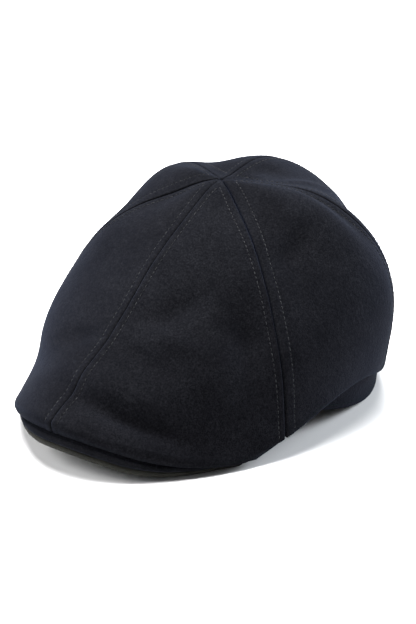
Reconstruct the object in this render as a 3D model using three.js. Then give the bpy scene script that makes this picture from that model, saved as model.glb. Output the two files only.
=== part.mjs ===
// A duckbill cap of thick wool cloth: six gores that meet at an apex, a headband that shows at the back,
// and a bowed peak under the two front gores. Millimetres, the peak toward -Y, the wearer's left at +X.
import * as THREE from 'three';

// Head opening and headband.
const headLength = 202; // inside the headband, front to back
const headWidth = 172; // inside the headband, side to side
const headBack = 8; // middle of the head opening, behind the apex
const bandWall = 2.6; // headband of folded cloth
const bandHeight = 33; // headband, lower edge to upper edge
const bandFlare = 7; // how far its upper edge stands out past its lower edge over the ears
const bandRise = 42; // lower edge of the headband at the front, above the floor
const bandFlat = 41; // how far behind the middle of the opening the lower edge comes down to the floor
const bandSweep = 1.35; // how late the lower edge rises toward the front: 1 would be a straight rise

// Crown.
const peakReach = 58; // from the head opening to where the cloth rolls over the middle of the peak's edge
const sideReach = 15; // from the head opening to where the cloth rolls under at either side
const rearReach = 7; // the same at the back
const tipReach = headLength / 2 - headBack + peakReach; // these three are measured from the apex
const halfWidth = headWidth / 2 + sideReach;
const backReach = headLength / 2 + headBack + rearReach;
const apexHeight = 138; // where the six gores meet, above the floor
const tipRise = 17.4; // how much higher the cloth's edge is at the middle of the peak than at its lowest
const sideRise = 16; // the same at either side
const backRise = 16.4; // the same at the back
const cloth = 2.2; // wool cloth with its backing
const hemCloth = 1.1; // its end, which is pressed thinner where it is sewn in
const edgeRoll = 5; // how far the cloth's edge rolls down over the edge of the peak at the cheeks
const tipRoll = 8.5; // the same at the middle of the peak
const rollLean = 0.6; // how far the rolled edge leans out
const seamGap = 0.3; // between two gores
const seat = 0.3; // between pieces that are sewn face to face
const hemSeat = 0.45; // between the end of the cloth and the piece it is sewn to
const apexHole = 1.2; // radius at which the points of the gores stop

// Peak.
const board = 3.4; // stiff board in its cloth cover
const boardBow = 2; // how far the board bows up between the headband and its edge
const bowWidth = 24; // where the peak is narrower than this, it bows less
const lip = 3.5; // how far the board reaches past the front gores at its widest
const lipDepth = 4.2; // height of its rounded edge there
const lipDrop = 1.2; // how far the lip lies below the cloth's edge there
const cheekInset = 4; // how far the board stops short of the cloth's edge at the cheeks
const cheekDepth = 1.8; // height of its edge at the cheeks
const facing = 1.8; // cloth under the peak
const facingRoll = 5.5; // height of the facing's rolled edge at the middle
const facingInset = 1.2; // how far the facing's edge stays behind the board's
const rootClear = 1; // how far the middle of the leaf keeps off the headband

// Turns about the apex, in degrees from the front.
const goreTurn = 60; // six gores make a full turn
const lipMiddle = 7; // where the lip is widest, a little to the wearer's left
const lipFull = 9; // how far to either side it stays as wide
const lipTurn = 36; // how far to either side it reaches
const cheekTurn = 45; // where the edge of the peak starts to bend back to the headband
const cornerTurn = 60; // where the peak ends at the headband
const tuckTurn = 70; // behind here the cloth is sewn to the headband
const cornerWidth = 9; // how far the peak still stands out from the headband where it ends, in millimetres

const lowestEdge = edgeRoll + seat + cheekDepth + seat + facing; // cloth edge where the peak rests

// Sections down the crown at even turns from the front seam round to the back seam. reach is how far the
// edge is from the apex and rise how high it lies above the lowest edge. out and up are the shape of the
// cloth at six even steps from the apex to the edge, as shares of the reach and of the height above the edge.
const sections = [
  { place: 'front seam', reach: tipReach, rise: tipRise,
    out: [0.16, 0.3, 0.43, 0.555, 0.715, 1], up: [0.91, 0.785, 0.65, 0.485, 0.3, 0] },
  { place: 'front gore', reach: 0.875 * tipReach, rise: 0,
    out: [0.2, 0.38, 0.535, 0.685, 0.845, 1], up: [0.925, 0.81, 0.67, 0.51, 0.32, 0] },
  { place: 'side seam', reach: 1.09 * halfWidth, rise: 0.02 * sideRise,
    out: [0.255, 0.48, 0.69, 0.835, 0.945, 1], up: [0.925, 0.825, 0.665, 0.5, 0.31, 0] },
  { place: 'side gore', reach: halfWidth, rise: sideRise,
    out: [0.27, 0.54, 0.745, 0.92, 1.01, 1], up: [1.005, 0.915, 0.725, 0.52, 0.275, 0] },
  { place: 'rear seam', reach: 1.03 * halfWidth, rise: 0.85 * backRise,
    out: [0.27, 0.555, 0.81, 0.97, 1.03, 1], up: [0.99, 0.955, 0.8, 0.58, 0.3, 0] },
  { place: 'back gore', reach: 0.94 * backReach, rise: 0.9 * backRise,
    out: [0.26, 0.525, 0.745, 0.915, 1.01, 1], up: [1.005, 0.93, 0.755, 0.535, 0.28, 0] },
  { place: 'back seam', reach: backReach, rise: backRise,
    out: [0.25, 0.5, 0.74, 0.92, 1.02, 1], up: [1.045, 0.995, 0.845, 0.61, 0.33, 0] },
];

// The headband at the same turns: how high the crown is sewn to it and how high it is, as shares of
// bandHeight, and how far its upper edge leans out, as a share of bandFlare.
const bandSections = {
  sewnAt: [0.15, 0.15, 0.2, 0.68, 0.64, 0.62, 0.62],
  height: [0.92, 0.94, 1, 1, 1, 1, 1],
  flare: [-1.3, -0.5, 0.2, 0.6, 0.8, 0, 0],
};

// Dents and swells of the soft cloth: where the middle lies (turn in degrees, down from 0 at the apex to
// 1 at the edge), half lengths round and down, how much lower each degree of turn brings it, and depth.
const folds = [
  { name: 'left brow crease', turn: 17, down: 0.935, round: 14, along: 0.035, slant: 0, depth: 4 },
  { name: 'right brow crease', turn: -32, down: 0.92, round: 15, along: 0.05, slant: 0, depth: 3 },
  { name: 'right side swell', turn: -60, down: 0.5, round: 22, along: 0.2, slant: 0, depth: -3 },
  { name: 'right top dent', turn: -108, down: 0.28, round: 26, along: 0.12, slant: 0, depth: 2.2 },
  { name: 'right back swell', turn: -145, down: 0.25, round: 20, along: 0.12, slant: 0, depth: -2 },
];

const radians = Math.PI / 180;
const rad = (degrees) => degrees * radians;

// Values at evenly spaced turns from front to back, blended all the way round by cosines.
function around(values) {
  const last = values.length - 1;
  const waves = values.map((_, k) => {
    let sum = 0;
    values.forEach((value, i) => {
      const end = i === 0 || i === last ? 0.5 : 1;
      sum += end * value * Math.cos((Math.PI * k * i) / last);
    });
    return (sum * 2) / last / (k === 0 || k === last ? 2 : 1);
  });
  return (turn) => waves.reduce((sum, wave, k) => sum + wave * Math.cos(k * rad(turn)), 0);
}

// A natural cubic spline through evenly spaced values, read at a place from 0 to 1.
function splineThrough(values) {
  const n = values.length - 1;
  const bend = new Array(n + 1).fill(0);
  const factor = new Array(n + 1).fill(0);
  for (let i = 1; i < n; i += 1) {
    const pull = 6 * (values[i + 1] - 2 * values[i] + values[i - 1]);
    const scale = 4 - factor[i - 1];
    factor[i] = 1 / scale;
    bend[i] = (pull - bend[i - 1]) / scale;
  }
  for (let i = n - 1; i > 0; i -= 1) bend[i] -= factor[i] * bend[i + 1];
  return (place) => {
    const x = Math.min(Math.max(place, 0), 1) * n;
    const i = Math.min(Math.floor(x), n - 1);
    const b = x - i;
    const a = 1 - b;
    const curve = ((a ** 3 - a) * bend[i] + (b ** 3 - b) * bend[i + 1]) / 6;
    return a * values[i] + b * values[i + 1] + curve;
  };
}

const blend = (from, to, x) => {
  const share = Math.min(Math.max((x - from) / (to - from), 0), 1);
  return share * share * (3 - 2 * share);
};
const mix = (a, b, share) => a + (b - a) * share;

const reachAt = around(sections.map((s) => s.reach));
const riseAt = around(sections.map((s) => s.rise));
const lowestRise = Math.min(...Array.from({ length: cheekTurn + 1 }, (_, turn) => riseAt(turn)));
const liftAt = (turn) => lowestEdge + riseAt(turn) - lowestRise;
const rings = sections[0].out.map((_, i) => ({
  out: around(sections.map((s) => s.out[i])),
  up: around(sections.map((s) => s.up[i])),
}));

// One section of the crown at any turn. The values run through the apex to the far side, so that the
// crown is smooth on top.
function sectionAt(turn) {
  const near = rings.map((ring) => ({ out: ring.out(turn), up: ring.up(turn) }));
  const far = near.slice().reverse();
  const out = splineThrough([...far.map((p) => -p.out), 0, ...near.map((p) => p.out)]);
  const up = splineThrough([...far.map((p) => p.up), 1, ...near.map((p) => p.up)]);
  const reach = reachAt(turn);
  const lift = liftAt(turn);
  return (down) => {
    const place = 0.5 + 0.5 * down;
    return { out: reach * out(place), up: lift + (apexHeight - lift) * up(place) };
  };
}

function foldDepth(turn, down) {
  let depth = 0;
  for (const fold of folds) {
    const side = turn - fold.turn;
    const row = down - fold.down - fold.slant * side;
    depth += fold.depth * Math.exp(-((side / fold.round) ** 2) - (row / fold.along) ** 2);
  }
  return depth;
}

const toPoint = (turn, out, up) =>
  new THREE.Vector3(out * Math.sin(rad(turn)), -out * Math.cos(rad(turn)), up);

// Oval of the head opening, grown by a margin, read at a turn about the apex.
function ovalReach(turn, margin) {
  const wide = headWidth / 2 + margin;
  const long = headLength / 2 + margin;
  const x = Math.sin(rad(turn)) / wide;
  const y = -Math.cos(rad(turn)) / long;
  const shift = headBack / long;
  const a = x * x + y * y;
  const b = -y * shift;
  const c = shift * shift - 1;
  return (-b + Math.sqrt(b * b - a * c)) / a;
}

// Headband: its lower edge lies on the floor behind bandFlat and rises toward the front.
const sewnAt = around(bandSections.sewnAt);
const heightAt = around(bandSections.height);
const flareAt = around(bandSections.flare);
const frontOfBand = tipReach - peakReach + bandWall;

function bandLower(turn) {
  const forward = bandFlat + headBack + ovalReach(turn, bandWall) * Math.cos(rad(turn));
  const share = Math.max(forward, 0) / (bandFlat + headBack + frontOfBand);
  return bandRise * share ** bandSweep;
}

const bandOut = (turn, share, margin) => ovalReach(turn, margin) + bandFlare * flareAt(turn) * share;

// The edge of the peak, seen from above and in height, at a turn from the front. Its root is the line on
// the headband's face where it is sewn.
const lipShare = (turn) => 1 - blend(lipFull, lipTurn, Math.abs(turn - lipMiddle));
const cornerShare = (turn) => blend(cheekTurn, cornerTurn, Math.abs(turn));
const rollAt = (turn) => mix(edgeRoll, tipRoll, lipShare(turn));
const rootShare = 0.1;

function peakEdge(turn) {
  const lipped = lipShare(turn);
  const corner = cornerShare(turn);
  const root = {
    out: Math.max(bandOut(turn, 0, bandWall), bandOut(turn, rootShare, bandWall)) + seat,
    up: bandLower(turn) + rootShare * bandHeight,
  };
  const depth = mix(cheekDepth, lipDepth, lipped);
  const edge = {
    out: mix(reachAt(turn) + mix(-cheekInset, lip, lipped), root.out + cornerWidth, corner),
    up: mix(liftAt(turn) - rollAt(turn) - seat - lipDrop * lipped, root.up, corner),
    depth,
    hang: mix(facing, facingRoll, lipped),
  };
  return { root, edge };
}

// How far the rolled and the tucked edge are drawn out as they leave the crown and as they arrive, as
// shares of the roll's height and of the way to the headband. most is in millimetres.
const rollPull = { leave: 0.5, out: 0.15, up: 0.35 };
const tuckPull = { leave: 0.55, most: 4.5, out: 0.45, down: 0.76 };

// The cloth past its edge: over the edge of the peak at the front, and under to the headband elsewhere.
function hem(turn) {
  const at = sectionAt(turn);
  const edge = at(1);
  const before = at(0.98);
  const run = Math.hypot(edge.out - before.out, edge.up - before.up);
  const along = { out: (edge.out - before.out) / run, up: (edge.up - before.up) / run };
  const under = cornerShare(turn);
  const peak = peakEdge(turn).edge;
  const behind = blend(cornerTurn, tuckTurn, Math.abs(turn));
  const sewn = sewnAt(turn);
  const end = {
    out: mix(peak.out, bandOut(turn, sewn + cloth / bandHeight, bandWall), behind) + hemSeat,
    up: mix(peak.up - peak.depth, bandLower(turn) + sewn * bandHeight, behind),
  };
  const gap = Math.hypot(edge.out - end.out, edge.up - end.up);
  const inward = blend(0, 0.6, (edge.out - end.out) / gap);
  const last = {
    out: mix(edge.out + rollLean, end.out, blend(0, 0.5, under)),
    up: mix(edge.up - rollAt(turn), end.up, under * under),
  };
  const early = blend(0, 0.3, under);
  const pull = mix(rollPull.leave * rollAt(turn), Math.min(tuckPull.most, tuckPull.leave * gap), early);
  return [
    edge,
    { out: edge.out + along.out * pull, up: edge.up + along.up * pull },
    {
      out: last.out + mix(rollPull.out * rollAt(turn), tuckPull.out * gap, under),
      up: last.up + mix(rollPull.up * rollAt(turn), -tuckPull.down * gap * inward, early),
    },
    last,
  ];
}

function bezier(points, s) {
  const r = 1 - s;
  const weights = [r ** 3, 3 * r * r * s, 3 * r * s * s, s ** 3];
  const sum = (key) => points.reduce((total, point, i) => total + weights[i] * point[key], 0);
  return { out: sum('out'), up: sum('up') };
}

// Outer face of the cloth: down runs from 0 at the apex to 1 at the edge, and on to 2 at the cloth's end.
function smoothCrown(turn, down) {
  const { out, up } = down <= 1 ? sectionAt(turn)(down) : bezier(hem(turn), down - 1);
  return toPoint(turn, out, up);
}

function outward(surface, turn, down) {
  const small = 0.01;
  const upper = Math.max(down - small, small);
  const lower = Math.min(down + small, 2);
  const sideStep = surface(turn + 1, down).sub(surface(turn - 1, down));
  const downStep = surface(turn, lower).sub(surface(turn, upper));
  return downStep.cross(sideStep).normalize();
}

function crown(turn, down) {
  const point = smoothCrown(turn, down);
  const depth = foldDepth(turn, down);
  if (Math.abs(depth) < 0.01) return point;
  return point.addScaledVector(outward(smoothCrown, turn, down), -depth);
}

// A closed wall between an outer and an inner grid of points that share rows and columns.
function wallMesh(name, colour, roughness, outer, inner, loop = false) {
  const rows = outer.length;
  const columns = outer[0].length;
  const position = [];
  for (const grid of [outer, inner]) {
    for (const row of grid) {
      for (const point of row) position.push(point.x, point.y, point.z);
    }
  }
  const index = [];
  const at = (side, i, j) => side * rows * columns + i * columns + (j % columns);
  const quad = (a, b, c, d) => index.push(a, b, c, a, c, d);
  const steps = loop ? columns : columns - 1;
  for (let i = 0; i < rows - 1; i += 1) {
    for (let j = 0; j < steps; j += 1) {
      quad(at(0, i, j), at(0, i + 1, j), at(0, i + 1, j + 1), at(0, i, j + 1));
      quad(at(1, i, j), at(1, i, j + 1), at(1, i + 1, j + 1), at(1, i + 1, j));
    }
  }
  for (let j = 0; j < steps; j += 1) {
    quad(at(0, 0, j), at(0, 0, j + 1), at(1, 0, j + 1), at(1, 0, j));
    quad(at(0, rows - 1, j), at(1, rows - 1, j), at(1, rows - 1, j + 1), at(0, rows - 1, j + 1));
  }
  if (!loop) {
    for (let i = 0; i < rows - 1; i += 1) {
      quad(at(0, i, 0), at(1, i, 0), at(1, i + 1, 0), at(0, i + 1, 0));
      quad(at(0, i, columns - 1), at(0, i + 1, columns - 1), at(1, i + 1, columns - 1), at(1, i, columns - 1));
    }
  }
  const geometry = new THREE.BufferGeometry();
  geometry.setAttribute('position', new THREE.Float32BufferAttribute(position, 3));
  geometry.setIndex(index);
  geometry.computeVertexNormals();
  const mesh = new THREE.Mesh(geometry, new THREE.MeshStandardMaterial({ color: colour, roughness }));
  mesh.name = name;
  return mesh;
}

const goreColumns = 12;
const goreRows = 17;
const hemRows = 5;
const thinning = [0.96, 1.4]; // where the cloth starts to get thinner and where it is as thin as the hem

function goreMesh(name, middle) {
  const half = goreTurn / 2;
  const first = apexHole / (sections.length - 1) / (sections[0].out[0] * reachAt(middle));
  const downs = [];
  for (let i = 0; i < goreRows; i += 1) downs.push(mix(first, 1, i / goreRows));
  for (let i = 0; i <= hemRows; i += 1) downs.push(1 + i / hemRows);
  const outer = [];
  const inner = [];
  for (const down of downs) {
    const outerRow = [];
    const innerRow = [];
    for (let j = 0; j <= goreColumns; j += 1) {
      const share = (2 * j) / goreColumns - 1;
      const point = smoothCrown(middle + share * half, down);
      const cut = Math.asin(seamGap / 2 / Math.hypot(point.x, point.y)) / radians;
      const way = outward(crown, middle + share * half, down);
      const place = crown(middle + share * (half - cut), down);
      outerRow.push(place);
      innerRow.push(place.clone().addScaledVector(way, -mix(cloth, hemCloth, blend(...thinning, down))));
    }
    outer.push(outerRow);
    inner.push(innerRow);
  }
  return wallMesh(name, clothColour, 0.95, outer, inner);
}

// The headband, a whole loop.
const bandColumns = 72;
const bandRows = 3;

function bandMesh(name) {
  const outer = [];
  const inner = [];
  for (let i = bandRows; i >= 0; i -= 1) {
    const share = i / bandRows;
    const outerRow = [];
    const innerRow = [];
    for (let j = 0; j < bandColumns; j += 1) {
      const turn = (360 * j) / bandColumns;
      const side = turn > 180 ? turn - 360 : turn;
      const up = bandLower(side) + share * heightAt(side) * bandHeight;
      outerRow.push(toPoint(turn, bandOut(side, share, bandWall), up));
      innerRow.push(toPoint(turn, bandOut(side, share, 0), up));
    }
    outer.push(outerRow);
    inner.push(innerRow);
  }
  return wallMesh(name, clothColour, 0.95, outer, inner, true);
}

// The peak: the board and the facing under it are sections like a thin leaf with a thicker, rounded edge.
const peakColumns = 24;
const leafSteps = [0, 0.25, 0.5, 0.75, 0.9];
const noseSteps = [0, 35, 70];

function leafMesh(name, colour, leaf) {
  const outer = [];
  const inner = [];
  for (let j = 0; j <= peakColumns; j += 1) {
    const turn = mix(-cornerTurn, cornerTurn, j / peakColumns);
    const { top, bottom } = leaf(turn);
    top.forEach((point, i) => {
      outer[i] = outer[i] || [];
      outer[i].push(toPoint(turn, point.out, point.up));
    });
    bottom.forEach((point, i) => {
      inner[i] = inner[i] || [];
      inner[i].push(toPoint(turn, point.out, point.up));
    });
  }
  return wallMesh(name, colour, 0.95, outer, inner);
}

// Upper line of the board from the headband to its edge, with the way down through it at each step.
function boardLine(turn) {
  const { root, edge } = peakEdge(turn);
  const round = edge.depth / 2;
  const width = edge.out - round - root.out;
  const bow = boardBow * Math.min(1, width / bowWidth);
  const at = (step) => ({
    out: root.out + width * step,
    up: mix(root.up, edge.up, step) + 4 * bow * step * (1 - step),
  });
  const line = leafSteps.map((step) => {
    const next = at(step + 0.01);
    const here = at(step);
    const run = Math.hypot(next.out - here.out, next.up - here.up);
    return {
      here,
      down: { out: (next.up - here.up) / run, up: -(next.out - here.out) / run },
      thick: mix(board, edge.depth, step * step),
      step,
      first: root.out,
    };
  });
  return { line, edge, round };
}

// A point below the upper line. At the headband it stays on the headband's face.
function below({ here, down, step, first }, depth) {
  if (step === 0) return { out: here.out, up: here.up + depth / down.up };
  return { out: Math.max(here.out + down.out * depth, first + rootClear * step), up: here.up + down.up * depth };
}

function boardLeaf(turn) {
  const { line, edge, round } = boardLine(turn);
  const top = line.map((place) => below(place, 0));
  const bottom = line.map((place) => below(place, place.thick));
  for (const angle of noseSteps) {
    const out = edge.out - round + round * Math.sin(rad(angle));
    const rise = round * Math.cos(rad(angle));
    top.push({ out, up: edge.up - round + rise });
    bottom.push({ out, up: edge.up - round - rise });
  }
  return { top, bottom };
}

function facingLeaf(turn) {
  const { line, edge, round } = boardLine(turn);
  const top = line.map((place) => below(place, place.thick + seat));
  const bottom = line.map((place) => {
    const deep = mix(facing, edge.hang, place.step ** 4);
    return below(place, place.thick + seat + deep);
  });
  const under = edge.up - edge.depth - seat;
  const end = edge.out - facingInset;
  const curve = edge.hang / 2;
  for (const angle of noseSteps) {
    const out = end - round * (1 - Math.sin(rad(angle)));
    const rise = curve * Math.cos(rad(angle));
    top.push({ out, up: under - (curve - rise) });
    bottom.push({ out, up: under - curve - rise });
  }
  return { top, bottom };
}

const clothColour = 0x24252c;
const facingColour = 0x3b3b37;

const cap = new THREE.Group();
const gores = [
  { name: 'crown_panel_front_left', place: 0.5 },
  { name: 'crown_panel_side_left', place: 1.5 },
  { name: 'crown_panel_back_left', place: 2.5 },
  { name: 'crown_panel_back_right', place: -2.5 },
  { name: 'crown_panel_side_right', place: -1.5 },
  { name: 'crown_panel_front_right', place: -0.5 },
];
for (const gore of gores) cap.add(goreMesh(gore.name, gore.place * goreTurn));
cap.add(bandMesh('headband'));
cap.add(leafMesh('peak', clothColour, boardLeaf));
cap.add(leafMesh('under_peak', facingColour, facingLeaf));

// The frame's origin is on the floor, under the middle of the whole cap.
const box = new THREE.Box3().setFromObject(cap);
cap.position.y = -(box.min.y + box.max.y) / 2;

export default cap;
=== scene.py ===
# %% [markdown]
# # A duckbill cap in dark wool cloth
# The real object is a soft cap sewn from six pointed panels, called gores, of thick brushed wool. The crown
# falls forward onto a short stiff peak, and at the back an upright headband shows below it. This lesson
# builds every piece as a mesh from a few sizes and three short tables, because cloth that was cut and sewn
# to a pattern is smooth and regular, and only its creases are free. A sculpted mesh would lose the straight
# seams. First the imported model is loaded, and the place of its headband is read from it.

# %% Load the frame
import math

import bpy
import numpy as np
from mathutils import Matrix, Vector, noise


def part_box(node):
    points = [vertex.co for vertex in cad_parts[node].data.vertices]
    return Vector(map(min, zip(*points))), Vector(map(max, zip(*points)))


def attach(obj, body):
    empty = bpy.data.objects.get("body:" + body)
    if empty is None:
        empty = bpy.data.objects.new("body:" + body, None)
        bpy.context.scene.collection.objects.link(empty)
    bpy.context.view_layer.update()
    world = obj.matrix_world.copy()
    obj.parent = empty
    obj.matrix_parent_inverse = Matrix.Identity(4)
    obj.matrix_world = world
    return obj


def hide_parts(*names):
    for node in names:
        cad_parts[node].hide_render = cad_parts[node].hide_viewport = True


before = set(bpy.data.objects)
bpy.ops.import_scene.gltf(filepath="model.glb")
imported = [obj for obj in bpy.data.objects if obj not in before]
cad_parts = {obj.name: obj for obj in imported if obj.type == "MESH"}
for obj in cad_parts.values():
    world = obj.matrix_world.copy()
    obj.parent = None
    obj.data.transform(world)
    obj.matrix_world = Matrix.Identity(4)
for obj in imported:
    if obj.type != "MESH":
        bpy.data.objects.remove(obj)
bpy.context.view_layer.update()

# %% [markdown]
# ## Sizes
# Everything is in metres. Heights are above the table and reaches are from the apex, where the six gores
# meet. A turn is an angle about the apex in degrees: 0 is the middle of the peak, 90 the wearer's left and
# 180 the back. The same few sizes drive all the pieces, so that they keep meeting when one of them changes.

# %% Driving sizes
head_length = 0.202
head_width = 0.172
head_back = 0.008
band_wall = 0.0026
band_height = 0.033
band_flare = 0.007
band_rise = 0.042
band_flat = 0.041
band_sweep = 1.35

peak_reach = 0.058
side_reach = 0.015
rear_reach = 0.007
tip_reach = head_length / 2 - head_back + peak_reach
half_width = head_width / 2 + side_reach
back_reach = head_length / 2 + head_back + rear_reach
apex_height = 0.138
tip_rise = 0.0174
side_rise = 0.016
back_rise = 0.0164
cloth = 0.0022
hem_cloth = 0.0011
edge_roll = 0.005
tip_roll = 0.0085
roll_lean = 0.0006
seat = 0.0003
hem_seat = 0.00045
apex_hole = 0.0004

board = 0.0034
board_bow = 0.002
bow_width = 0.024
lip = 0.0035
lip_depth = 0.0042
lip_drop = 0.0012
cheek_inset = 0.004
cheek_depth = 0.0018
facing = 0.0018
facing_roll = 0.0043
facing_inset = 0.0012
root_clear = 0.001
corner_width = 0.009

gore_turn = 60
lip_middle = 7
lip_full = 9
lip_turn = 36
cheek_turn = 45
corner_turn = 60
tuck_turn = 70
lowest_edge = edge_roll + seat + cheek_depth + seat + facing
print("lowest edge of the crown", round(lowest_edge, 4), "above the table")

# %% [markdown]
# ## The shape of the crown
# A gored crown is round on top and changes from section to section: it falls far forward at the front seam,
# bulges at the sides and tucks in at the back. The table has one section for each half gore from front to
# back. Out and up are shares of the section's reach and of its height, at six even steps from the apex.

# %% Table of crown sections
crown_sections = [
    {"place": "front seam", "reach": tip_reach, "rise": tip_rise,
     "out": (0.16, 0.3, 0.43, 0.555, 0.715, 1), "up": (0.91, 0.785, 0.65, 0.485, 0.3, 0)},
    {"place": "front gore", "reach": 0.875 * tip_reach, "rise": 0,
     "out": (0.2, 0.38, 0.535, 0.685, 0.845, 1), "up": (0.925, 0.81, 0.67, 0.51, 0.32, 0)},
    {"place": "side seam", "reach": 1.09 * half_width, "rise": 0.02 * side_rise,
     "out": (0.255, 0.48, 0.69, 0.835, 0.945, 1), "up": (0.925, 0.825, 0.665, 0.5, 0.31, 0)},
    {"place": "side gore", "reach": half_width, "rise": side_rise,
     "out": (0.27, 0.54, 0.745, 0.92, 1.01, 1), "up": (1.005, 0.915, 0.725, 0.52, 0.275, 0)},
    {"place": "rear seam", "reach": 1.03 * half_width, "rise": 0.85 * back_rise,
     "out": (0.27, 0.555, 0.81, 0.97, 1.03, 1), "up": (0.99, 0.955, 0.8, 0.58, 0.3, 0)},
    {"place": "back gore", "reach": 0.94 * back_reach, "rise": 0.9 * back_rise,
     "out": (0.26, 0.525, 0.745, 0.915, 1.01, 1), "up": (1.005, 0.93, 0.755, 0.535, 0.28, 0)},
    {"place": "back seam", "reach": back_reach, "rise": back_rise,
     "out": (0.25, 0.5, 0.74, 0.92, 1.02, 1), "up": (1.045, 0.995, 0.845, 0.61, 0.33, 0)},
]

band_sections = {
    "sewn_at": (0.15, 0.15, 0.2, 0.68, 0.64, 0.62, 0.62),
    "height": (0.92, 0.94, 1, 1, 1, 1, 1),
    "flare": (-1.3, -0.5, 0.2, 0.6, 0.8, 0, 0),
}
print(len(crown_sections), "sections from front to back")

# %% [markdown]
# Between two sections the shape has to change without a ridge, also where the last section meets its
# mirror image. A sum of cosines does that, because every cosine is level at the front and at the back.


# %% Blending round the crown
def around(values):
    """A smooth value at any turn, from values at even turns between front and back."""
    last = len(values) - 1
    waves = []
    for wave in range(last + 1):
        total = 0
        for i, value in enumerate(values):
            end = 0.5 if i in (0, last) else 1
            total += end * value * math.cos(math.pi * wave * i / last)
        waves.append(total * 2 / last / (2 if wave in (0, last) else 1))

    def read(turn):
        angle = np.radians(turn)
        return sum(size * np.cos(wave * angle) for wave, size in enumerate(waves))

    return read


def smooth_step(start, end, x):
    share = np.clip((x - start) / (end - start), 0, 1)
    return share * share * (3 - 2 * share)


def mix(a, b, share):
    return a + (b - a) * share


reach_at = around([section["reach"] for section in crown_sections])
rise_at = around([section["rise"] for section in crown_sections])
ring_out = [around([section["out"][i] for section in crown_sections]) for i in range(6)]
ring_up = [around([section["up"][i] for section in crown_sections]) for i in range(6)]
lowest_rise = min(rise_at(turn) for turn in range(cheek_turn + 1))
print("reach at the front", round(float(reach_at(0)), 4), "and at the back", round(float(reach_at(180)), 4))

# %% [markdown]
# Down each section the cloth follows a natural spline, which is the line that a thin bent strip takes. It
# runs from one edge over the apex to the other, so the top of the crown has no point where the gores meet.


# %% A section of the crown
def bends_of_even_spline(count):
    """The matrix that gives a natural spline's second derivatives at even knots from its values."""
    left = np.eye(count)
    right = np.zeros((count, count))
    for i in range(1, count - 1):
        left[i, i - 1:i + 2] = (1, 4, 1)
        right[i, i - 1:i + 2] = (6, -12, 6)
    return np.linalg.solve(left, right)


knot_count = 2 * len(ring_out) + 1
spline_bends = bends_of_even_spline(knot_count)


def read_spline(knots, place):
    bends = knots @ spline_bends.T
    x = np.clip(place, 0, 1) * (knot_count - 1)
    low = np.minimum(x.astype(int), knot_count - 2)
    b = x - low
    a = 1 - b

    def pick(values, index):
        return np.take_along_axis(values, index[..., None], -1)[..., 0]

    curve = ((a ** 3 - a) * pick(bends, low) + (b ** 3 - b) * pick(bends, low + 1)) / 6
    return a * pick(knots, low) + b * pick(knots, low + 1) + curve


def lift_at(turn):
    return lowest_edge + rise_at(turn) - lowest_rise


def crown_section(turn, down):
    """Reach and height of the cloth, for down from 0 at the apex to 1 at the edge."""
    out = np.stack([ring(turn) for ring in ring_out], -1)
    up = np.stack([ring(turn) for ring in ring_up], -1)
    top = np.ones_like(turn)[..., None]
    out_knots = np.concatenate([-out[..., ::-1], 0 * top, out], -1)
    up_knots = np.concatenate([up[..., ::-1], top, up], -1)
    place = 0.5 + 0.5 * down
    lift = lift_at(turn)
    return (
        reach_at(turn) * read_spline(out_knots, place),
        lift + (apex_height - lift) * read_spline(up_knots, place),
    )


# %% [markdown]
# ## Headband and peak lines
# The headband is an upright oval strip. Its lower edge lies on the table at the back and sweeps up to where
# the peak is sewn on. The peak is a short board that leans down from the headband to just under the crown's
# edge: at the middle it reaches past the crown as a lip, and at the cheeks it stops short of it.


# %% Lines of the headband and the peak
def oval_reach(turn, margin):
    """From the apex to the oval of the head opening, grown by a margin."""
    wide = head_width / 2 + margin
    long = head_length / 2 + margin
    x = np.sin(np.radians(turn)) / wide
    y = -np.cos(np.radians(turn)) / long
    shift = head_back / long
    a = x * x + y * y
    b = -y * shift
    return (-b + np.sqrt(b * b - a * (shift * shift - 1))) / a


sewn_at = around(band_sections["sewn_at"])
band_height_at = around(band_sections["height"])
band_flare_at = around(band_sections["flare"])
front_of_band = head_length / 2 - head_back + band_wall
root_share = 0.1


def band_lower(turn):
    forward = band_flat + head_back + oval_reach(turn, band_wall) * np.cos(np.radians(turn))
    share = np.maximum(forward, 0) / (band_flat + head_back + front_of_band)
    return band_rise * share ** band_sweep


def band_out(turn, share, margin):
    return oval_reach(turn, margin) + band_flare * band_flare_at(turn) * share


def lip_share(turn):
    return 1 - smooth_step(lip_full, lip_turn, np.abs(turn - lip_middle))


def corner_share(turn):
    return smooth_step(cheek_turn, corner_turn, np.abs(turn))


def roll_at(turn):
    return mix(edge_roll, tip_roll, lip_share(turn))


def peak_edge(turn):
    """Where the peak meets the headband and where its own edge is, as reaches and heights."""
    lipped = lip_share(turn)
    corner = corner_share(turn)
    root_out = np.maximum(band_out(turn, 0, band_wall), band_out(turn, root_share, band_wall)) + seat
    root_up = band_lower(turn) + root_share * band_height
    free_out = reach_at(turn) + mix(-cheek_inset, lip, lipped)
    free_up = lift_at(turn) - roll_at(turn) - seat - lip_drop * lipped
    return {
        "root_out": root_out,
        "root_up": root_up,
        "out": mix(free_out, root_out + corner_width, corner),
        "up": mix(free_up, root_up, corner),
        "depth": mix(cheek_depth, lip_depth, lipped),
        "hang": mix(facing, facing_roll, lipped),
    }


print("peak reaches", round(float(peak_edge(np.float64(0))["out"]), 4), "in front of the apex")

# %% [markdown]
# ## The rolled edge of the crown
# Past its edge the cloth rolls over the edge of the peak at the front. Round the sides and the back it
# turns under and is sewn to the headband. One curve of four points does both: its last point moves from the
# edge of the peak to the headband, and its pulls make the roll tight or loose. Deep inside this tuck, at
# the lower ends of the side and rear seams, two neighbouring gores still cross by less than a millimetre.

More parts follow.
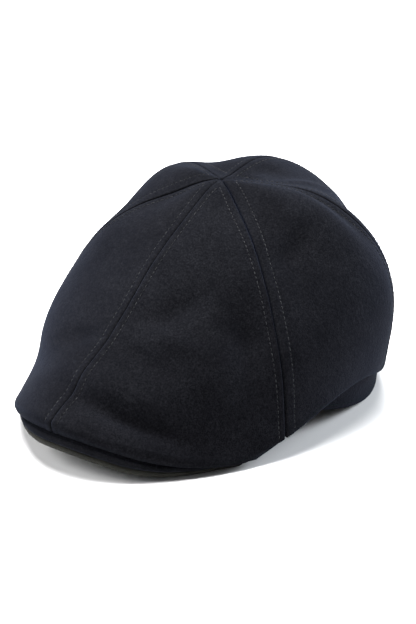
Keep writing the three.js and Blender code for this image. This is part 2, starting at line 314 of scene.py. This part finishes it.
# %% The cloth past its edge
roll_pull = {"leave": 0.5, "out": 0.15, "up": 0.35}
tuck_pull = {"leave": 0.55, "most": 0.0045, "out": 0.45, "down": 0.76}
near_edge = 0.98
full_inward = 0.6
pull_change = 0.3
out_change = 0.5


def hem_section(turn, along):
    """Reach and height of the cloth past its edge, for along from 0 to 1."""
    edge_out, edge_up = crown_section(turn, np.ones_like(turn))
    near_out, near_up = crown_section(turn, np.full_like(turn, near_edge))
    run = np.hypot(edge_out - near_out, edge_up - near_up)
    way_out = (edge_out - near_out) / run
    way_up = (edge_up - near_up) / run
    under = corner_share(turn)
    early = smooth_step(0, pull_change, under)
    peak = peak_edge(turn)
    behind = smooth_step(corner_turn, tuck_turn, np.abs(turn))
    roll = roll_at(turn)
    sewn = sewn_at(turn)
    end_out = mix(peak["out"], band_out(turn, sewn + cloth / band_height, band_wall), behind) + hem_seat
    end_up = mix(peak["up"] - peak["depth"], band_lower(turn) + sewn * band_height, behind)
    gap = np.hypot(edge_out - end_out, edge_up - end_up)
    inward = smooth_step(0, full_inward, (edge_out - end_out) / gap)
    last_out = mix(edge_out + roll_lean, end_out, smooth_step(0, out_change, under))
    last_up = mix(edge_up - roll, end_up, under * under)
    tuck = np.minimum(tuck_pull["most"], tuck_pull["leave"] * gap)
    pull = mix(roll_pull["leave"] * roll, tuck, early)
    points = [
        (edge_out, edge_up),
        (edge_out + way_out * pull, edge_up + way_up * pull),
        (last_out + mix(roll_pull["out"] * roll, tuck_pull["out"] * gap, under),
         last_up + mix(roll_pull["up"] * roll, -tuck_pull["down"] * gap * inward, early)),
        (last_out, last_up),
    ]
    rest = 1 - along
    weights = [rest ** 3, 3 * rest * rest * along, 3 * rest * along * along, along ** 3]
    out = sum(weight * point[0] for weight, point in zip(weights, points))
    up = sum(weight * point[1] for weight, point in zip(weights, points))
    return out, up


outward_step = 0.008
band_back = float(band_out(np.float64(180), 1, band_wall))
apex_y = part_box("headband")[1][1] - band_back


def place_points(turn, out, up):
    """Points in the frame from a turn, a reach from the apex and a height."""
    angle = np.radians(turn)
    return np.stack([out * np.sin(angle), apex_y - out * np.cos(angle), up], -1)


def crown_face(turn, down):
    """Outer face of the cloth: down is 0 at the apex, 1 at the edge and 2 at the cloth's end."""
    turn, down = np.broadcast_arrays(np.asarray(turn, float), np.asarray(down, float))
    out, up = crown_section(turn, np.minimum(down, 1))
    hem_out, hem_up = hem_section(turn, np.clip(down - 1, 0, 1))
    return place_points(turn, np.where(down <= 1, out, hem_out), np.where(down <= 1, up, hem_up))


def crown_outward(turn, down):
    """Unit vectors that stand out of the cloth."""
    upper = np.maximum(down - outward_step, outward_step)
    lower = np.minimum(down + outward_step, 2)
    side = crown_face(turn + 1, down) - crown_face(turn - 1, down)
    fall = crown_face(turn, lower) - crown_face(turn, upper)
    way = np.cross(fall, side)
    return way / np.linalg.norm(way, axis=-1, keepdims=True)


print("apex lies", round(apex_y, 4), "behind the middle of the cap")

# %% [markdown]
# ## Creases and swells
# Worn wool keeps soft dents. Each row of this table is one: where its middle lies, how long it is round and
# down, how much lower every degree of turn brings it, and how deep it is. The first five are in the packed
# solids too, where the left brow crease is wider and less deep. The others are only here, and they give the
# cloth its soft patches of light and shade. The deepest of them is the valley beside the left side seam.

# %% Table of folds
fold_columns = ("name", "turn", "down", "round", "along", "slant", "depth")
fold_rows = [
    ("left brow crease", 17, 0.956, 15, 0.021, 0.0006, 0.006),
    ("right brow crease", -32, 0.92, 15, 0.05, 0, 0.003),
    ("right side swell", -60, 0.5, 22, 0.2, 0, -0.003),
    ("right top dent", -108, 0.28, 26, 0.12, 0, 0.0022),
    ("right back swell", -145, 0.25, 20, 0.12, 0, -0.002),
    ("left brow swell", 10, 0.905, 14, 0.03, 0.0004, -0.0022),
    ("left brow hollow", 14, 0.825, 10, 0.03, 0.001, 0.0022),
    ("left front swell", 24, 0.745, 9, 0.035, 0, -0.0022),
    ("left front hollow", 22, 0.63, 11, 0.06, -0.006, 0.0032),
    ("side seam valley", 49.5, 0.72, 8, 0.16, 0, 0.0066),
    ("left side dent", 79, 0.435, 14, 0.05, -0.001, 0.0026),
    ("rear seam valley", 115, 0.42, 5, 0.15, 0, 0.003),
    ("right brow hollow", -12, 0.825, 9, 0.035, 0, 0.0026),
    ("left back dent", 156, 0.19, 12, 0.06, 0, 0.0022),
    ("left back ridge", 150, 0.395, 13, 0.055, 0.0104, -0.0018),
    ("left rear swell", 114, 0.8, 8, 0.15, 0, -0.0012),
]
folds = [dict(zip(fold_columns, row)) for row in fold_rows]


def fold_depth(turn, down):
    depth = 0
    for fold in folds:
        side = turn - fold["turn"]
        row = down - fold["down"] - fold["slant"] * side
        depth = depth + fold["depth"] * np.exp(-((side / fold["round"]) ** 2) - (row / fold["along"]) ** 2)
    return depth


print(len(folds), "folds, the deepest", max(fold["depth"] for fold in folds))

# %% [markdown]
# ## Seams
# Two gores are sewn face to face, the spare cloth behind the seam is spread open, and a row of stitches on
# each side holds it down. So a seam is a narrow groove, a low flat ridge of double cloth on both sides of
# it, and a slight dip where the stitches pull. The relief below adds this to the smooth cloth by its
# distance from the seam. The row behind a seam stands a little further off than the row in front of it.

# %% Relief of a seam
groove_depth = {0: 0.0005, 60: 0.0018, 120: 0.0012, 180: 0.0009}
groove_half = 0.00045
ridge_height = 0.0002
ridge_rise = 0.002
ridge_full = 0.0005
ridge_end = 0.0012
stitch_dip = 0.0002
dip_half = 0.0008
row_in_front = 0.0047
row_behind = 0.0063


def seam_relief(distance, row, depth):
    groove = -depth * np.exp(-((distance / groove_half) ** 2))
    past = smooth_step(row - ridge_full, row + ridge_end, distance)
    ridge = ridge_height * smooth_step(0, ridge_rise, distance) * (1 - past)
    dip = -stitch_dip * np.exp(-(((distance - row) / dip_half) ** 2))
    return groove + ridge + dip


print("stitch rows", row_in_front, "in front of a seam and", row_behind, "behind it")

# %% [markdown]
# Cloth is never quite even. Two low waves of smooth noise, one the size of a coin and one the size of a
# fingertip, break up the perfect curves. The noise is read at the point itself, so it never changes.

# %% Unevenness of the cloth
wave_sizes = ((0.032, 0.00035), (0.011, 0.00012))


def uneven(points):
    flat = points.reshape(-1, 3)
    height = np.zeros(len(flat))
    for size, depth in wave_sizes:
        height += [depth * noise.noise(Vector(point)) for point in flat / size]
    return height.reshape(points.shape[:-1])


# %% [markdown]
# ## A wall of cloth
# Every cloth piece is a closed wall between an outer and an inner grid of points. Grids keep the rows and
# columns of the pattern, so the seams stay straight and the mesh has even four-sided faces.


# %% Make a wall from two grids
sharp_angle = 60


def link_mesh(name, mesh):
    piece = bpy.data.objects.new(name, mesh)
    bpy.context.collection.objects.link(piece)
    return piece


def wall(name, outer, inner, loop=False):
    rows, columns = outer.shape[:2]
    points = np.concatenate([outer.reshape(-1, 3), inner.reshape(-1, 3)])
    number = np.arange(rows * columns).reshape(rows, columns)
    if loop:
        number = np.concatenate([number, number[:, :1]], 1)
    back = number + rows * columns

    def strip(a, b, c, d):
        return np.stack([a.ravel(), b.ravel(), c.ravel(), d.ravel()], 1)

    faces = [
        strip(number[:-1, :-1], number[1:, :-1], number[1:, 1:], number[:-1, 1:]),
        strip(back[:-1, :-1], back[:-1, 1:], back[1:, 1:], back[1:, :-1]),
        strip(number[0, :-1], number[0, 1:], back[0, 1:], back[0, :-1]),
        strip(number[-1, :-1], back[-1, :-1], back[-1, 1:], number[-1, 1:]),
    ]
    if not loop:
        faces.append(strip(number[:-1, 0], back[:-1, 0], back[1:, 0], number[1:, 0]))
        faces.append(strip(number[:-1, -1], number[1:, -1], back[1:, -1], back[:-1, -1]))
    mesh = bpy.data.meshes.new(name)
    mesh.from_pydata(points.tolist(), [], np.concatenate(faces).tolist())
    mesh.shade_smooth()
    mesh.set_sharp_from_angle(angle=math.radians(sharp_angle))
    print(name, len(mesh.polygons), "faces")
    return link_mesh(name, mesh)


# %% [markdown]
# ## The melton
# The cap's cloth is melton: wool that was felted and brushed until no weave shows. It is almost black, yet
# it never shines. Light catches the loose fibres, so the cloth looks paler and bluer where it turns away. A
# rough surface with a weak sheen layer does that, and fine noise gives the nap its grain. All patterns are
# in the object's own space, so they keep their size on every piece.


# %% Helpers for materials
def new_material(name):
    material = bpy.data.materials.new(name)
    material.use_nodes = True
    return material, material.node_tree.nodes, material.node_tree.links


def noise_node(nodes, links, source, scale, detail, roughness=0.6):
    node = nodes.new("ShaderNodeTexNoise")
    node.inputs["Scale"].default_value = scale
    node.inputs["Detail"].default_value = detail
    node.inputs["Roughness"].default_value = roughness
    links.new(source, node.inputs["Vector"])
    return node.outputs["Fac"]


def ramp_node(nodes, links, source, stops):
    node = nodes.new("ShaderNodeValToRGB")
    ramp = node.color_ramp
    while len(ramp.elements) < len(stops):
        ramp.elements.new(0.5)
    for element, (position, colour) in zip(ramp.elements, stops):
        element.position = position
        element.color = (*colour, 1)
    links.new(source, node.inputs["Fac"])
    return node.outputs["Color"]


def mix_colours(nodes, links, kind, share, first, second):
    node = nodes.new("ShaderNodeMix")
    node.data_type = "RGBA"
    node.blend_type = kind
    node.inputs["Factor"].default_value = share
    links.new(first, node.inputs["A"])
    links.new(second, node.inputs["B"])
    return node.outputs["Result"]


def bump_node(nodes, links, height, strength, distance, normal=None):
    node = nodes.new("ShaderNodeBump")
    node.inputs["Strength"].default_value = strength
    node.inputs["Distance"].default_value = distance
    links.new(height, node.inputs["Height"])
    if normal is not None:
        links.new(normal, node.inputs["Normal"])
    return node.outputs["Normal"]


# %% [markdown]
# The colour has three scales: clouds a few centimetres wide where the nap was brushed another way, tufts of
# a few millimetres, and single paler fibres. The bump has two scales of its own, near the two finer ones.


# %% Melton
def make_melton():
    material, nodes, links = new_material("dark_melton")
    shader = nodes["Principled BSDF"]
    place = nodes.new("ShaderNodeTexCoord").outputs["Object"]
    clouds = ramp_node(nodes, links, noise_node(nodes, links, place, 45, 3), [
        (0.35, (0.0031, 0.0032, 0.0039)), (0.65, (0.0045, 0.0047, 0.0057))])
    tufts = ramp_node(nodes, links, noise_node(nodes, links, place, 420, 4, 0.7), [
        (0.3, (0.65, 0.65, 0.66)), (0.7, (1.25, 1.24, 1.22))])
    fibres = ramp_node(nodes, links, noise_node(nodes, links, place, 1050, 3, 0.85), [
        (0.42, (0.5, 0.5, 0.51)), (0.68, (2.35, 2.3, 2.25))])
    colour = mix_colours(nodes, links, "MULTIPLY", 1, clouds, tufts)
    colour = mix_colours(nodes, links, "MULTIPLY", 1, colour, fibres)
    links.new(colour, shader.inputs["Base Color"])
    coarse = bump_node(nodes, links, noise_node(nodes, links, place, 380, 3), 0.5, 0.0005)
    nap = bump_node(nodes, links, noise_node(nodes, links, place, 1400, 2), 0.5, 0.00025, coarse)
    links.new(nap, shader.inputs["Normal"])
    shader.inputs["Roughness"].default_value = 0.95
    shader.inputs["Specular IOR Level"].default_value = 0.02
    shader.inputs["Sheen Weight"].default_value = 0.028
    shader.inputs["Sheen Roughness"].default_value = 0.5
    shader.inputs["Sheen Tint"].default_value = (0.45, 0.58, 1.0, 1)
    return material


melton = make_melton()
print("made", melton.name)

# %% [markdown]
# ## The gores
# Each gore is one wall of cloth from the apex to the rolled edge. Its columns are crowded near the two
# seams, where the relief is fine, and its rows are even. Near the apex a gore is narrower than its two seam
# ridges, so there the crowded columns close up. The inner face follows the folds but not the seams.

# %% Build the gores
gore_rows = 150
hem_rows = 26
seam_columns = 20
middle_columns = 44
seam_zone = 0.0095
most_zone = 0.6
crowding = 1.2
half_gap = 0.00004
thinning = (0.96, 1.4)


def gore_grid(middle):
    """Turns and downs of one gore's grid, with its columns crowded near the seams."""
    first = apex_hole / 6 / (crown_sections[0]["out"][0] * float(reach_at(np.float64(middle))))
    downs = np.concatenate([
        np.linspace(first, 1, gore_rows, endpoint=False),
        1 + np.linspace(0, 1, hem_rows),
    ])
    radius = np.linalg.norm(crown_face(middle, downs)[..., :2] - (0, apex_y), axis=-1)
    half = radius * math.radians(gore_turn / 2) - half_gap
    zone = np.minimum(seam_zone, most_zone * half)[:, None]
    near = np.linspace(0, 1, seam_columns + 1)[None, :] ** crowding
    inner = np.linspace(0, 1, middle_columns + 2)[None, 1:-1]
    left = -half[:, None] + near * zone
    across = -half[:, None] + zone + inner * 2 * (half[:, None] - zone)
    steps = np.concatenate([left, across, -left[:, ::-1]], 1)
    return middle + np.degrees(steps / radius[:, None]), np.broadcast_to(downs[:, None], steps.shape)


def row_distance(seam, middle):
    """How far from the seam the stitch row of the gore with this middle stands."""
    in_front = abs(seam) in (0, 180) or abs(middle) < abs(seam)
    return row_in_front if in_front else row_behind


def cloth_relief(turn, down, points, middle):
    radius = np.linalg.norm(points[..., :2] - (0, apex_y), axis=-1)
    height = uneven(points) - fold_depth(turn, down)
    for seam in (middle - gore_turn / 2, middle + gore_turn / 2):
        distance = radius * np.abs(np.sin(np.radians(turn - seam)))
        depth = groove_depth[abs((seam + 180) % 360 - 180)]
        height = height + seam_relief(distance, row_distance(seam, middle), depth)
    return height


def cloth_face(turn, down, middle):
    """Outer face of a gore with its folds, unevenness and seams."""
    points = crown_face(turn, down)
    relief = cloth_relief(turn, down, points, middle)
    return points + crown_outward(turn, down) * relief[..., None]


def make_gore(name, middle):
    turn, down = gore_grid(middle)
    outer = cloth_face(turn, down, middle)
    fold = fold_depth(turn, down)[..., None]
    thick = mix(cloth, hem_cloth, smooth_step(thinning[0], thinning[1], down))[..., None]
    inner = crown_face(turn, down) - crown_outward(turn, down) * (thick + fold)
    return wall(name, outer, inner)


gores = {
    "crown_panel_front_left": 30,
    "crown_panel_side_left": 90,
    "crown_panel_back_left": 150,
    "crown_panel_back_right": -150,
    "crown_panel_side_right": -90,
    "crown_panel_front_right": -30,
}
for node, middle in gores.items():
    gore = make_gore(node.replace("crown_panel", "gore"), middle)
    gore.data.materials.append(melton)
    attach(gore, "root")
    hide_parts(node)

# %% [markdown]
# ## The headband
# A strip of the same cloth, doubled and pressed, stands upright round the head opening. It is a closed loop
# with a rounded lower fold, so its section is drawn as a thin rounded bar.

# %% Build the headband
band_columns = 300
band_rows = 22
fold_share = 0.8


def make_headband():
    turn = np.linspace(-180, 180, band_columns, endpoint=False)[None, :]
    share = np.linspace(1, 0, band_rows)[:, None]
    height = band_height_at(turn) * band_height
    up = band_lower(turn) + share * height
    edge = np.minimum(share, 1 - share) * band_height / (band_wall / 2)
    round_edge = 1 - np.sqrt(np.clip(1 - (1 - np.clip(edge, 0, 1)) ** 2, 0, 1))
    pinch = fold_share * band_wall / 2 * round_edge
    outer = place_points(turn, band_out(turn, share, band_wall) - pinch, up)
    inner = place_points(turn, band_out(turn, share, 0) + pinch, up)
    return wall("headband_cloth", outer, inner, loop=True)


headband = make_headband()
headband.data.materials.append(melton)
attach(headband, "root")
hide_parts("headband")

# %% [markdown]
# ## The peak
# A stiff board in the same cloth. Only its rounded lip shows below the crown's rolled edge. It thins toward
# the cheeks. Under it lies a facing of smooth olive cloth, which shows as a thin strip below the lip.

# %% Build the peak and its facing
peak_columns = 160
leaf_rows = 26
nose_rows = 12
nose_end = 84
leaf_end = 0.94
small_step = 0.01


def board_line(turn):
    """Upper line of the board from the headband to its edge, with the way down through it."""
    peak = peak_edge(turn)
    curve = peak["depth"] / 2
    width = peak["out"] - curve - peak["root_out"]
    bow = board_bow * np.minimum(1, width / bow_width)
    step = np.linspace(0, leaf_end, leaf_rows)[:, None]

    def at(step):
        out = peak["root_out"] + width * step
        up = mix(peak["root_up"], peak["up"], step) + 4 * bow * step * (1 - step)
        return out, up

    out, up = at(step)
    next_out, next_up = at(step + small_step)
    run = np.hypot(next_out - out, next_up - up)
    return {
        "out": out, "up": up, "step": step, "peak": peak, "curve": curve,
        "down_out": (next_up - up) / run, "down_up": -(next_out - out) / run,
        "thick": mix(board, peak["depth"], step * step),
    }


def below(line, depth):
    """Points of the leaf a depth below the upper line. At the headband they stay on its face."""
    first = line["peak"]["root_out"] + line["step"] * root_clear
    out = np.maximum(line["out"] + line["down_out"] * depth, first)
    return out, line["up"] + line["down_up"] * depth


def leaf(name, turn, line, top_depth, bottom_depth, nose):
    """A leaf with a rounded edge. nose gives the middle height, half height, end and depth of the curve."""
    angle = np.radians(np.linspace(0, nose_end, nose_rows))[:, None]
    out = nose["end"] - nose["deep"] * (1 - np.sin(angle))
    rise = nose["half"] * np.cos(angle)
    grids = []
    for depth, sign in ((top_depth, 1), (bottom_depth, -1)):
        leaf_out, leaf_up = below(line, depth)
        all_out = np.concatenate([leaf_out, np.broadcast_to(out, (nose_rows, turn.shape[1]))])
        all_up = np.concatenate([leaf_up, nose["middle"] + sign * rise])
        all_turn = np.broadcast_to(turn, all_out.shape)
        grids.append(place_points(all_turn, all_out, all_up))
    return wall(name, grids[0], grids[1])


def make_peak():
    turn = np.linspace(-corner_turn, corner_turn, peak_columns)[None, :]
    line = board_line(turn)
    peak = line["peak"]
    nose = {"end": peak["out"], "deep": line["curve"], "half": line["curve"],
            "middle": peak["up"] - line["curve"]}
    return leaf("peak_cloth", turn, line, 0, line["thick"], nose)


def make_facing():
    turn = np.linspace(-corner_turn, corner_turn, peak_columns)[None, :]
    line = board_line(turn)
    peak = line["peak"]
    deep = mix(facing, peak["hang"], line["step"] ** 4)
    top = line["thick"] + seat
    half = peak["hang"] / 2
    nose = {"end": peak["out"] - facing_inset, "deep": line["curve"], "half": half,
            "middle": peak["up"] - peak["depth"] - seat - half}
    return leaf("peak_facing", turn, line, top, top + deep, nose)


# %% [markdown]
# The facing is taken to be a plain smooth cotton, dark olive grey, since only a thin strip of it shows. Its
# diagonal weave is so fine that it is only seen close up.


# %% Facing material
def make_facing_cloth():
    material, nodes, links = new_material("olive_facing")
    shader = nodes["Principled BSDF"]
    place = nodes.new("ShaderNodeTexCoord").outputs["Object"]
    weave = nodes.new("ShaderNodeTexWave")
    weave.wave_type = "BANDS"
    weave.bands_direction = "DIAGONAL"
    weave.inputs["Scale"].default_value = 420
    weave.inputs["Distortion"].default_value = 1.2
    weave.inputs["Detail"].default_value = 2
    links.new(place, weave.inputs["Vector"])
    lines = ramp_node(nodes, links, weave.outputs["Fac"], [
        (0.2, (0.8, 0.8, 0.8)), (0.8, (1.15, 1.15, 1.15))])
    body = ramp_node(nodes, links, noise_node(nodes, links, place, 90, 4), [
        (0.35, (0.011, 0.011, 0.009)), (0.65, (0.016, 0.016, 0.013))])
    links.new(mix_colours(nodes, links, "MULTIPLY", 1, body, lines), shader.inputs["Base Color"])
    links.new(bump_node(nodes, links, weave.outputs["Fac"], 0.3, 0.0002), shader.inputs["Normal"])
    shader.inputs["Roughness"].default_value = 0.8
    shader.inputs["Specular IOR Level"].default_value = 0.12
    shader.inputs["Sheen Weight"].default_value = 0.02
    return material


facing_cloth = make_facing_cloth()
peak_board = make_peak()
peak_board.data.materials.append(melton)
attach(peak_board, "root")
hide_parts("peak")
peak_facing = make_facing()
peak_facing.data.materials.append(facing_cloth)
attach(peak_facing, "root")
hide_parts("under_peak")

# %% [markdown]
# ## Topstitching
# On each side of every seam runs a row of stitches in a slightly paler thread. A lockstitch shows as a row
# of short dashes: the thread comes up, lies on the cloth and goes down again. Each dash is a small bent
# tube that follows the relief of the cloth, so it sits in its dip and its ends go into the nap.

# %% Build the stitches
stitch_length = 0.0024
stitch_pitch = 0.0031
thread_half = 0.00023
thread_sides = 6
thread_rings = 5
stitch_hump = 0.00022
thread_swell = (0.55, 0.95, 1, 0.95, 0.55)
thread_flat = 1.15
first_stitch = 0.006
first_down = 0.02
row_points = 500


def stitch_row(seam, side, row, last_down):
    """Centres of the thread's rings along one row, and the ways out of and across the cloth."""
    middle = seam + side * gore_turn / 2
    down = np.linspace(first_down, last_down, row_points)
    face = crown_face(np.full_like(down, seam), down)
    radius = np.maximum(np.linalg.norm(face[:, :2] - (0, apex_y), axis=-1), row * 1.01)
    turn = seam + side * np.degrees(np.arcsin(row / radius))
    inside = np.abs(turn - seam) < gore_turn / 2
    turn, down = turn[inside], down[inside]
    face = cloth_face(turn, down, middle)
    way = crown_outward(turn, down)
    length = np.concatenate([[0], np.cumsum(np.linalg.norm(np.diff(face, axis=0), axis=1))])
    starts = np.arange(first_stitch - row, length[-1] - stitch_length, stitch_pitch)
    places = starts[:, None] + np.linspace(0, stitch_length, thread_rings)[None, :]

    def read(values):
        return np.stack([np.interp(places, length, values[:, axis]) for axis in range(3)], -1)

    centre, out = read(face), read(way)
    along = np.gradient(centre, axis=1)
    along /= np.linalg.norm(along, axis=-1, keepdims=True)
    across = np.cross(along, out)
    arch = np.sin(np.linspace(0, math.pi, thread_rings))
    centre = centre + out * (stitch_hump * (2 * arch - 1))[None, :, None]
    return centre, out, across


def stitch_mesh(name, rows):
    points = []
    faces = []
    start = 0
    for centre, out, across in rows:
        for ring_centre, ring_out_way, ring_across in zip(centre, out, across):
            for k in range(thread_rings):
                for s in range(thread_sides):
                    angle = 2 * math.pi * s / thread_sides
                    aside = ring_across[k] * math.cos(angle) * thread_flat
                    way = aside + ring_out_way[k] * math.sin(angle)
                    points.append(ring_centre[k] + way * thread_half * thread_swell[k])
            for k in range(thread_rings - 1):
                for s in range(thread_sides):
                    t = (s + 1) % thread_sides
                    a = start + k * thread_sides
                    b = a + thread_sides
                    faces.append((a + s, a + t, b + t, b + s))
            faces.append(tuple(start + s for s in reversed(range(thread_sides))))
            end = start + (thread_rings - 1) * thread_sides
            faces.append(tuple(end + s for s in range(thread_sides)))
            start += thread_rings * thread_sides
    mesh = bpy.data.meshes.new(name)
    mesh.from_pydata([tuple(point) for point in points], [], faces)
    mesh.shade_smooth()
    print(name, len(mesh.polygons), "faces")
    return link_mesh(name, mesh)


# %% [markdown]
# The thread is dark grey, a little paler than the cloth. Its twist shows as a slight change of tone.


# %% Thread material
def make_thread():
    material, nodes, links = new_material("grey_thread")
    shader = nodes["Principled BSDF"]
    place = nodes.new("ShaderNodeTexCoord").outputs["Object"]
    tone = ramp_node(nodes, links, noise_node(nodes, links, place, 700, 2), [
        (0.4, (0.007, 0.0073, 0.0085)), (0.65, (0.028, 0.0285, 0.031))])
    links.new(tone, shader.inputs["Base Color"])
    links.new(bump_node(nodes, links, noise_node(nodes, links, place, 2600, 1), 0.4, 0.0001),
              shader.inputs["Normal"])
    shader.inputs["Roughness"].default_value = 0.7
    shader.inputs["Specular IOR Level"].default_value = 0.05
    shader.inputs["Sheen Weight"].default_value = 0.02
    return material


thread = make_thread()
seams = {
    "front": (0, 1.3),
    "side_left": (60, 1.15),
    "rear_left": (120, 1.1),
    "back": (180, 1.1),
    "rear_right": (-120, 1.1),
    "side_right": (-60, 1.15),
}
for name, (seam, last_down) in seams.items():
    rows = []
    for side in (-1, 1):
        middle = seam + side * gore_turn / 2
        middle = middle - 360 if middle > 180 else middle
        rows.append(stitch_row(seam, side, row_distance(seam, middle), last_down))
    topstitch = stitch_mesh(f"topstitch_{name}", rows)
    topstitch.data.materials.append(thread)
    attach(topstitch, "root")

# %% [markdown]
# ## Floor, light and camera
# A plain pale floor and three large soft lights, as for a shop picture. The cap is nearly black, so it
# needs much light from above. A weaker light from the front left shapes the brow, and one from behind draws
# the pale blue rim of the nap.

# %% Floor
floor_half = 4


def make_floor():
    mesh = bpy.data.meshes.new("floor")
    corners = [(-floor_half, -floor_half, 0), (floor_half, -floor_half, 0),
               (floor_half, floor_half, 0), (-floor_half, floor_half, 0)]
    mesh.from_pydata(corners, [], [(0, 1, 2, 3)])
    floor = link_mesh("floor", mesh)
    material, nodes, _ = new_material("white_floor")
    shader = nodes["Principled BSDF"]
    shader.inputs["Base Color"].default_value = (0.74, 0.74, 0.745, 1)
    shader.inputs["Roughness"].default_value = 0.9
    shader.inputs["Specular IOR Level"].default_value = 0.1
    mesh.materials.append(material)
    return floor


floor = make_floor()


# %% Lights
def soft_light(name, place, target, size, power, colour=(1, 1, 1)):
    lamp = bpy.data.lights.new(name, "AREA")
    lamp.shape = "RECTANGLE"
    lamp.size, lamp.size_y = size
    lamp.energy = power
    lamp.color = colour
    holder = bpy.data.objects.new(name, lamp)
    holder.location = place
    holder.rotation_euler = (Vector(target) - Vector(place)).to_track_quat("-Z", "Y").to_euler()
    bpy.context.collection.objects.link(holder)
    print(name, power, "W")


middle_of_cap = (0, 0, 0.07)
soft_light("top_light", (-0.3, 0.2, 1.65), middle_of_cap, (1.1, 1.1), 122)
soft_light("left_key_light", (-1.15, -1.05, 1.0), middle_of_cap, (0.9, 0.9), 37)
soft_light("right_rim_light", (0.85, 1.85, 0.75), middle_of_cap, (0.9, 0.9), 84, (0.9, 0.95, 1))

world = bpy.data.worlds.new("white_room")
world.use_nodes = True
world.node_tree.nodes["Background"].inputs["Color"].default_value = (1, 1, 1, 1)
world.node_tree.nodes["Background"].inputs["Strength"].default_value = 0.17
bpy.context.scene.world = world
bpy.context.scene.view_settings.view_transform = "Standard"

# %% [markdown]
# The camera stands in front of the cap and to its left, a little above it, with a long lens, so the cap is
# hardly distorted.

# %% Camera
camera_azimuth = math.radians(40)
camera_elevation = math.radians(22)
camera_distance = 1.2
camera_lens = 113.5
sensor_width = 36
aim = Vector((0.0119, apex_y - 0.0266, 0.0622))


def make_camera():
    data = bpy.data.cameras.new("camera")
    data.lens = camera_lens
    data.sensor_width = sensor_width
    holder = bpy.data.objects.new("camera", data)
    flat = math.cos(camera_elevation)
    back = Vector((
        math.sin(camera_azimuth) * flat,
        -math.cos(camera_azimuth) * flat,
        math.sin(camera_elevation),
    ))
    holder.location = aim + back * camera_distance
    holder.rotation_euler = back.to_track_quat("Z", "Y").to_euler()
    bpy.context.collection.objects.link(holder)
    bpy.context.scene.camera = holder
    return holder


camera = make_camera()
print("camera at", [round(value, 3) for value in camera.location])
